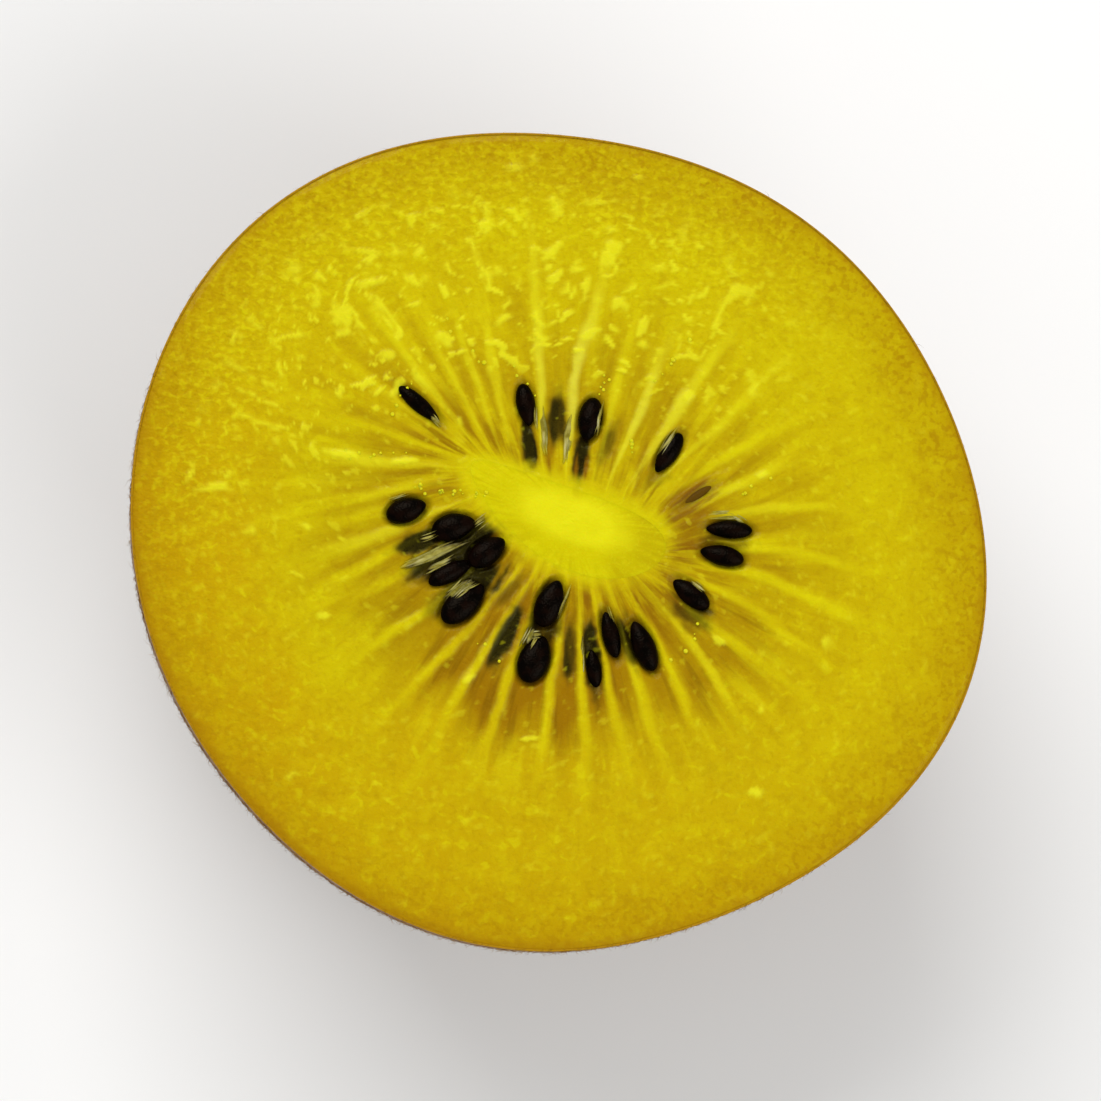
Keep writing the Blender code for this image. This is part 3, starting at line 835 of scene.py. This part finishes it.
def make_core():
    angle = np.arange(CORE_COLUMNS) * 2 * math.pi / CORE_COLUMNS
    edge_x, edge_y = core_edge(angle)
    middle_x, middle_y = CORE_CENTRE[0] + 0.3, CORE_CENTRE[1] - 0.75
    levels = np.array([0.93, 0.65, 0.3])[:, None]
    shrink = np.sqrt(1 - levels**2)
    column = flat(
        CORE_CENTRE[0] + (edge_x - CORE_CENTRE[0]) * shrink,
        CORE_CENTRE[1] + (edge_y - CORE_CENTRE[1]) * shrink,
        FACE_HEIGHT - levels * CORE_DEPTH,
    )
    share = np.linspace(1, 0.02, CORE_RINGS)[:, None]
    x = middle_x + (edge_x - middle_x) * share
    y = middle_y + (edge_y - middle_y) * share
    place = flat(x, y, 0.0)
    rise = 1 - share**2
    height = rise * (CORE_CROWN + 0.05 * noise_at(place, 1.6, 12, 2)) + 0.012 * noise_at(place, 0.4, 13)
    height *= smooth(0.0, 0.30, 1 - share)
    top = flat(x, y, FACE_HEIGHT + height)
    lens = oval(x, y, *CORE_LENS) + 0.10 * noise_at(place, 0.9, 14, 2)
    bright = 1 - smooth(0.55, 1.25, lens)
    fringe = smooth(0.55, 0.98, share + 0.08 * noise_at(place, 0.7, 16))
    fringe = np.broadcast_to(fringe, x.shape)
    tip = (x - CORE_CENTRE[0]) * math.cos(CORE_ANGLE) + (y - CORE_CENTRE[1]) * math.sin(CORE_ANGLE)
    far = smooth(2.2, 5.6, tip + 0.5 * noise_at(place, 0.8, 28, 2))
    rings = np.concatenate([column, top])
    blank = np.zeros(column.shape[:2])
    directions = np.broadcast_to(angle, rings.shape[:2])
    masks = {
        "middle": np.concatenate([blank, bright]),
        "edge": np.concatenate([blank, fringe]),
        "far": np.concatenate([blank, far]),
        "fibre_place": fibre_places(directions, np.hypot(rings[..., 0], rings[..., 1])),
    }
    start = (*CORE_CENTRE, FACE_HEIGHT - CORE_DEPTH)
    end = (middle_x, middle_y, FACE_HEIGHT + CORE_CROWN)
    mesh = ring_mesh("core", rings, start, end, masks)
    mark_sharp(mesh, 50)
    return add_piece("core_column", mesh, core_look(), "core", "core")


# Seeds
SEED_SEGMENTS, SEED_RINGS = 40, 24
SEED_THICKNESS = 1.15


def seed_height(thickness, free):
    """Height of the middle of a seed that stands that free of the flesh."""
    return FACE_HEIGHT - thickness * (0.42 - 0.62 * free)


def seed_form(form, x, y, length, width, degrees, free, number):
    """Adds one almond-shaped seed, its point towards the core, to the mesh being made."""
    made = bmesh.ops.create_uvsphere(form, u_segments=SEED_SEGMENTS, v_segments=SEED_RINGS, radius=1.0)
    turn = math.radians(degrees)
    outward = (x - CORE_CENTRE[0]) * math.cos(turn) + (y - CORE_CENTRE[1]) * math.sin(turn)
    if outward < 0:
        turn += math.pi
    thickness = min(SEED_THICKNESS, 0.85 * width)
    tilt = Matrix.Rotation(math.radians(5) * math.sin(7.1 * number), 4, "Y")
    spin = Matrix.Rotation(turn, 4, "Z") @ tilt
    middle = Vector((x, y, seed_height(thickness, free)))
    for vert in made["verts"]:
        along, across, up = vert.co.z, vert.co.x, vert.co.y
        taper = 1 - 0.22 * max(0.0, -along) ** 1.5 + 0.05 * along
        ripple = 1 + 0.02 * noise.noise((along * 2.2 + number * 9.1, across * 2.2, up * 2.2))
        local = Vector((along * length / 2, across * width / 2 * taper * ripple, up * thickness / 2 * taper))
        vert.co = (middle + spin @ local) * MM
    return made["verts"]


def make_seeds():
    form = bmesh.new()
    cover = form.verts.layers.float.new("cover")
    for number, seed in enumerate(SEEDS):
        for vert in seed_form(form, *seed, number):
            vert[cover] = 1 - min(1.0, seed[-1] / 0.3)
    mesh = bpy.data.meshes.new("seeds")
    form.to_mesh(mesh)
    form.free()
    mesh.shade_smooth()
    return add_piece("seeds", mesh, seed_look(), "seed")


# Membranes and droplets
BAND_POINTS, BAND_SIDES = 40, 12
FINE_BANDS = 0.34
BAND_THICKNESS = 0.035
BAND_CLEARANCE = 0.01
DROPLET_RADIUS = (0.05, 0.16)
DROPLET_SEED = 17


def ground(x, y):
    """Height of the highest thing at a place on the cut face: a seed, or the flesh."""
    height = np.full_like(x, FACE_HEIGHT)
    for at_x, at_y, length, width, degrees, free in SEEDS:
        thickness = min(SEED_THICKNESS, 0.85 * width)
        share = np.minimum(oval(x, y, at_x, at_y, length, width, degrees), 1)
        top = seed_height(thickness, free) + thickness / 2 * np.sqrt(1 - share**2)
        height = np.where(share < 1, np.maximum(height, top), height)
    return height


def darkness(x, y):
    """1 where a seed or a dark pocket lies below, and 0 over plain flesh."""
    below = np.zeros_like(x)
    for at_x, at_y, length, width, degrees, _ in (*SEEDS, *DARK_PATCHES):
        below = np.maximum(below, 1 - smooth(0.8, 1.3, oval(x, y, at_x, at_y, length, width, degrees)))
    return below


def make_membranes():
    """Wet films, flat, folded along their length and tapered, that drape over the seeds."""
    along = np.linspace(-0.5, 0.5, BAND_POINTS)
    turns = np.arange(BAND_SIDES) * 2 * math.pi / BAND_SIDES
    points, faces, places = [], [], []
    masks = {"thick": [], "below": []}
    for patch, (x, y, length, spread, degrees, count, half_width) in enumerate(MEMBRANES):
        turn = math.radians(degrees)
        for band in range(count):
            key = patch * 17.3 + band * 3.1
            lane = ((band + 0.5) / count - 0.5) * spread
            shift, shrink = 0.25 * math.sin(key * 1.7), 0.8 + 0.2 * math.cos(key * 2.3)
            ahead = (along * shrink + shift * 0.4) * length
            sway = lane + 0.10 * noise_at(flat(ahead, key, 0.0), 1.1, 1)
            broad = half_width if band == count // 2 else half_width * FINE_BANDS
            reach = broad * np.clip(1 - (2 * along) ** 2, 0.003, 1) ** 0.8
            edges = noise_at(flat(ahead[:, None], key, 3.0 * np.sign(np.cos(turns))), 0.9, 2, 2)
            aside = sway[:, None] + reach[:, None] * np.cos(turns) * (1 + 0.28 * edges)
            ahead = ahead[:, None] + 0 * aside
            at_x = x + ahead * math.cos(turn) - aside * math.sin(turn)
            at_y = y + ahead * math.sin(turn) + aside * math.cos(turn)
            folds = noise_at(flat(ahead * 0.35, aside * 1.8, key), 0.6, 3)
            rise = BAND_THICKNESS * np.sin(turns) * (1 + 0.7 * folds) * np.minimum(1, reach[:, None] / 0.05)
            faces += tube_faces(sum(map(len, points)), BAND_POINTS, BAND_SIDES)
            points.append(flat(at_x, at_y, ground(at_x, at_y) + BAND_CLEARANCE + rise).reshape(-1, 3))
            places.append(flat(ahead, aside * 5, key).reshape(-1, 3))
            thick = (1 - (2 * along[:, None]) ** 2) * (1 - 0.9 * np.cos(turns) ** 2)
            masks["thick"].append(thick.ravel())
            masks["below"].append(darkness(at_x, at_y).ravel())
    mesh = bpy.data.meshes.new("membranes")
    mesh.from_pydata((np.concatenate(points) * MM).tolist(), [], faces)
    layer = mesh.attributes.new("film_place", "FLOAT_VECTOR", "POINT")
    layer.data.foreach_set("vector", np.concatenate(places).astype(np.float32).ravel())
    for label, values in masks.items():
        layer = mesh.attributes.new(label, "FLOAT", "POINT")
        layer.data.foreach_set("value", np.concatenate(values).astype(np.float32))
    mesh.shade_smooth()
    return add_piece("membranes", mesh, membrane_look(), "core")


def tube_faces(first, rings, sides):
    """The faces of a closed tube whose rings of points follow each other from that index."""
    faces = [tuple(first + side for side in reversed(range(sides)))]
    for ring in range(rings - 1):
        low = first + ring * sides
        for side in range(sides):
            following = (side + 1) % sides
            faces.append((low + side, low + following, low + sides + following, low + sides + side))
    last = first + (rings - 1) * sides
    faces.append(tuple(last + side for side in range(sides)))
    return faces


def make_droplets():
    """Small juice droplets, each a low round bead that sits in the wet face."""
    draw = np.random.default_rng(DROPLET_SEED)
    form = bmesh.new()
    for x0, y0, x1, y1, count in DROPLET_LINES:
        for share in (np.arange(count) + draw.uniform(0, 0.8, count)) / count:
            x = x0 + (x1 - x0) * share + draw.normal(0, 0.16)
            y = y0 + (y1 - y0) * share + draw.normal(0, 0.16)
            radius = draw.uniform(*DROPLET_RADIUS)
            up = float(ground(np.array([x]), np.array([y]))[0])
            place = Matrix.Translation(Vector((x, y, up)) * MM)
            size = Matrix.Diagonal((radius * MM, radius * MM, radius * 0.5 * MM, 1.0))
            bmesh.ops.create_icosphere(form, subdivisions=2, radius=1.0, matrix=place @ size)
    mesh = bpy.data.meshes.new("droplets")
    form.to_mesh(mesh)
    form.free()
    mesh.shade_smooth()
    return add_piece("droplets", mesh, droplet_look(), "flesh")


# Skin
SKIN_COLUMNS = 384
SKIN_RINGS = 190
LIP_RINGS = 6
FLAT_RADIUS = 6.6


def side_profile(count):
    """Radius share and height up the outside of the fruit, from the flat to the cut face."""
    low = math.asin((FACE_HEIGHT / (FACE_HEIGHT + TIP_BEYOND_FLAT)) ** (BLUNTNESS / 2))
    turn = np.linspace(low, 0, count)
    share = np.cos(turn) ** (2 / BLUNTNESS)
    height = FACE_HEIGHT - (FACE_HEIGHT + TIP_BEYOND_FLAT) * np.sin(turn) ** (2 / BLUNTNESS)
    return share, np.maximum(height, 0)


def skin_profile():
    """(share, height) pairs evenly spaced along the outside, from the scar's middle to the cut."""
    share, height = side_profile(400)
    scar_share = [radius / MEAN_RADIUS for radius, _ in SCAR]
    scar_height = [rise for _, rise in SCAR]
    share = np.concatenate([scar_share, share])
    height = np.concatenate([scar_height, height])
    steps = np.hypot(np.diff(share) * MEAN_RADIUS, np.diff(height))
    walked = np.concatenate([[0], np.cumsum(steps)])
    even = np.linspace(0, walked[-1], SKIN_RINGS)
    return np.interp(even, walked, share), np.interp(even, walked, height), even / walked[-1]


def skin_point(angle, share, height):
    """A point of the outside; the scar is round, and the rest follows the outline."""
    shaped = smooth(SCAR[-1][0], FLAT_RADIUS, share * MEAN_RADIUS)
    radius = share * (MEAN_RADIUS + (body_radius(angle) - MEAN_RADIUS) * shaped)
    return flat(AXIS_X + radius * np.cos(angle), AXIS_Y + radius * np.sin(angle), height)


def outward_of(rings):
    """The outward direction at each point of a grid of rings."""
    around = np.roll(rings, -1, axis=1) - np.roll(rings, 1, axis=1)
    along = np.gradient(rings, axis=0)
    normal = np.cross(around, along)
    return normal / np.maximum(np.linalg.norm(normal, axis=2, keepdims=True), 1e-9)


def make_skin():
    angle = np.arange(SKIN_COLUMNS) * 2 * math.pi / SKIN_COLUMNS
    share, height, walked = skin_profile()
    outside = skin_point(angle[None, :], share[1:, None], height[1:, None])
    walked = walked[1:, None]
    bumps = 0.035 * noise_at(outside, 1.1, 21, 2) + 0.05 * noise_at(outside, 4.0, 22)
    quiet = smooth(0.4, 3.0, outside[..., 2]) * (1 - smooth(0.985, 1.0, walked))
    outside = outside + outward_of(outside) * (bumps * quiet)[..., None]

    thickness = PEEL * np.linspace(0.15, 1.0, LIP_RINGS)[:, None]
    curl = 0.05 * np.sin(math.pi * np.linspace(0.15, 1.0, LIP_RINGS))[:, None]
    radius = body_radius(angle) - thickness
    lip = flat(AXIS_X + radius * np.cos(angle), AXIS_Y + radius * np.sin(angle), FACE_HEIGHT - 0.02 + curl)
    depth = np.linspace(0.02, 0.95, 10)[:, None]
    narrowing = (1 - depth**BLUNTNESS) ** (1 / BLUNTNESS)
    radius = (body_radius(angle) - PEEL) * narrowing
    inside = flat(
        AXIS_X + radius * np.cos(angle),
        AXIS_Y + radius * np.sin(angle),
        FACE_HEIGHT - depth * (FACE_HEIGHT - 1.2),
    )
    rings = np.concatenate([outside, lip, inside])
    hidden = len(lip) + len(inside)

    reach = np.hypot(outside[..., 0], outside[..., 1])
    low = outside[..., 2]
    scar = (1 - smooth(2.9, 3.8, reach + 0.25 * noise_at(outside, 0.9, 23, 2))) * (1 - smooth(0.6, 2.0, low))
    olive = (1 - smooth(3.0, 13.0, low)) * (0.7 + 0.3 * noise_at(outside, 5.0, 24))
    blank = np.zeros((hidden, SKIN_COLUMNS))
    cut = np.concatenate([smooth(0.988, 0.997, np.broadcast_to(walked, low.shape)), blank + 1])
    masks = {"scar": np.concatenate([scar, blank]), "olive": np.concatenate([olive, blank]), "cut": cut}
    start = (AXIS_X, AXIS_Y, height[0])
    end = (AXIS_X, AXIS_Y, 1.6)
    mesh = ring_mesh("skin", rings, start, end, masks)

    spoke = np.concatenate([walked[:, 0] * 0.44, 0.44 + 0.05 * np.arange(1, hidden + 1) / hidden])[:, None]
    layout = np.stack([spoke * np.cos(angle), spoke * np.sin(angle)], axis=-1).reshape(-1, 2)
    places = np.concatenate([[[0, 0]], layout, [[0, 0]]]) + 0.5
    bake_map(mesh, places, apex=len(places) - 1)
    mark_sharp(mesh, 55)
    return add_piece("skin_peel", mesh, skin_look(), "skin", "skin")


# Fuzz
# Two coats over the peel: flat scurf and finer hairs that stand out. For each: its name, how many,
# shortest and longest, thickness at the root, how far it stands up, and how far its tip bends over
COATS = (
    ("skin_scurf", 42000, 0.25, 0.60, 0.055, 0.28, False),
    ("skin_fuzz", 9000, 0.30, 0.70, 0.022, 1.00, True),
)
HAIR_SEED = 41
FLOOR_CLEARANCE = 0.05
EDGE_CLEARANCE = (0.3, 2.0)


def unit(vectors):
    return vectors / np.maximum(np.linalg.norm(vectors, axis=-1, keepdims=True), 1e-9)


def make_fuzz(name, count, shortest, longest, thickness, stand, bent, draw):
    """One coat of three-sided hairs, each straight or bent once, that mostly point to the stem."""
    share, height, _ = skin_profile()
    keep = share * MEAN_RADIUS > SCAR[-1][0]
    share, height = share[keep], height[keep]
    row = draw.choice(len(share) - 1, count, p=share[:-1] / share[:-1].sum())
    part = draw.random(count)
    angle = draw.random(count) * 2 * math.pi
    root_share = share[row] + (share[row + 1] - share[row]) * part
    root_height = height[row] + (height[row + 1] - height[row]) * part
    root = skin_point(angle, root_share, root_height)
    around = unit(skin_point(angle + 0.002, root_share, root_height) - root)
    up = unit(skin_point(angle, share[row + 1], height[row + 1]) - skin_point(angle, share[row], height[row]))
    out = np.cross(around, up)

    lean = unit(draw.normal(0.0, 0.9, (count, 1)) * around - draw.normal(0.8, 0.8, (count, 1)) * up)
    way = unit(out * stand * draw.uniform(0.3, 1.0, (count, 1)) + lean)
    length = draw.uniform(shortest, longest, (count, 1))
    side = unit(np.cross(way, out))
    other = np.cross(way, side)
    turns = np.arange(3) * 2 * math.pi / 3
    rings = [(root - out * 0.02, thickness / 2)]
    tip = root + way * length
    if bent:
        rings.append((root + way * length * 0.55, thickness * 0.32))
        tip = root + way * length * 0.85 + lean * length * 0.35
    corners = [
        centre + (side * math.cos(turn) + other * math.sin(turn)) * reach for centre, reach in rings for turn in turns
    ]
    points = np.stack([*corners, tip], axis=1)
    clear = points[..., 2].min(axis=1) > FLOOR_CLEARANCE
    below_cut = points[..., 2].max(axis=1) < FACE_HEIGHT - draw.uniform(*EDGE_CLEARANCE, count)
    points = points[clear & below_cut]

    one = [(0, 2, 1)]
    for low in range(0, 3 * (len(rings) - 1), 3):
        for here, there in ((0, 1), (1, 2), (2, 0)):
            one += [(low + here, low + there, low + 3 + there), (low + here, low + 3 + there, low + 3 + here)]
    top = 3 * len(rings)
    one += [(top - 3, top - 2, top), (top - 2, top - 1, top), (top - 1, top - 3, top)]
    faces = (np.array(one)[None] + (top + 1) * np.arange(len(points))[:, None, None]).reshape(-1, 3)
    mesh = bpy.data.meshes.new(name)
    mesh.from_pydata((points.reshape(-1, 3) * MM).tolist(), [], faces.tolist())
    layer = mesh.attributes.new("tone", "FLOAT", "POINT")
    layer.data.foreach_set("value", np.repeat(draw.random(len(points)), top + 1).astype(np.float32))

    # each hair is one colour, so all its faces share one small triangle of its UV map
    cells = math.ceil(math.sqrt(len(points)))
    corner = np.array([(0.1, 0.1), (0.9, 0.1), (0.1, 0.9)])
    cell = np.stack([np.arange(len(points)) % cells, np.arange(len(points)) // cells], axis=1)
    spread = (cell[:, None, None] + np.broadcast_to(corner, (len(points), len(one), 3, 2))) / cells
    layer = mesh.uv_layers.new(name="OFBake")
    layer.data.foreach_set("uv", spread.astype(np.float32).ravel())
    mesh.shade_smooth()
    return add_piece(name, mesh, fuzz_look(), "skin")


# Stage, camera and light
CAMERA_TILT = 6.0
CAMERA_TURN = -45
CAMERA_DISTANCE = 450
FRAME_SHARE = 0.78


def make_floor():
    size = 1.6
    bpy.ops.mesh.primitive_grid_add(x_subdivisions=4, y_subdivisions=4, size=size)
    floor = bpy.context.object
    floor.name = "floor"
    look = Look("pale_floor", Roughness=0.7)
    tint = look.noise(look.place(), 40.0, detail=2)
    floor.data.materials.append(look.wire(Base_Color=look.blend(tint, (0.86, 0.86, 0.85), (0.88, 0.88, 0.87))))


def make_camera():
    data = bpy.data.cameras.new("camera")
    camera = bpy.data.objects.new("camera", data)
    bpy.context.scene.collection.objects.link(camera)
    tilt, turn = math.radians(CAMERA_TILT), math.radians(CAMERA_TURN)
    away = Vector((math.sin(turn) * math.sin(tilt), -math.cos(turn) * math.sin(tilt), math.cos(tilt)))
    target = Vector((-0.6, -0.6, FACE_HEIGHT)) * MM
    camera.location = target + away * CAMERA_DISTANCE * MM
    side = Vector((0, 1, 0)).cross(away).normalized()
    rise = away.cross(side)
    camera.rotation_euler = Matrix((side, rise, away)).transposed().to_euler()
    data.sensor_width = 36
    data.lens = 36 * CAMERA_DISTANCE / (FACE_WIDTH / FRAME_SHARE)
    data.clip_start, data.clip_end = 0.01, 10
    bpy.context.scene.camera = camera


def make_light(name, place, size, power, colour=(1.0, 1.0, 1.0)):
    """A soft square light at a place in mm, turned to the fruit."""
    data = bpy.data.lights.new(name, "AREA")
    data.size = size * MM
    data.energy = power
    data.color = colour
    light = bpy.data.objects.new(name, data)
    light.location = Vector(place) * MM
    light.rotation_euler = (-Vector(place)).to_track_quat("-Z", "Y").to_euler()
    bpy.context.scene.collection.objects.link(light)


def make_lights():
    world = bpy.data.worlds.new("studio")
    world.use_nodes = True
    world.node_tree.nodes["Background"].inputs["Color"].default_value = (1.0, 1.0, 1.0, 1.0)
    world.node_tree.nodes["Background"].inputs["Strength"].default_value = 0.43
    bpy.context.scene.world = world
    make_light("key", (-150, 360, 460), 420, 2.5)
    make_light("fill", (300, -260, 420), 450, 1.5)
    bpy.context.scene.view_settings.view_transform = "Standard"


def main():
    make_flesh()
    make_core()
    make_seeds()
    make_membranes()
    make_droplets()
    make_skin()
    draw = np.random.default_rng(HAIR_SEED)
    for coat in COATS:
        make_fuzz(*coat, draw)
    make_floor()
    make_camera()
    make_lights()


main()
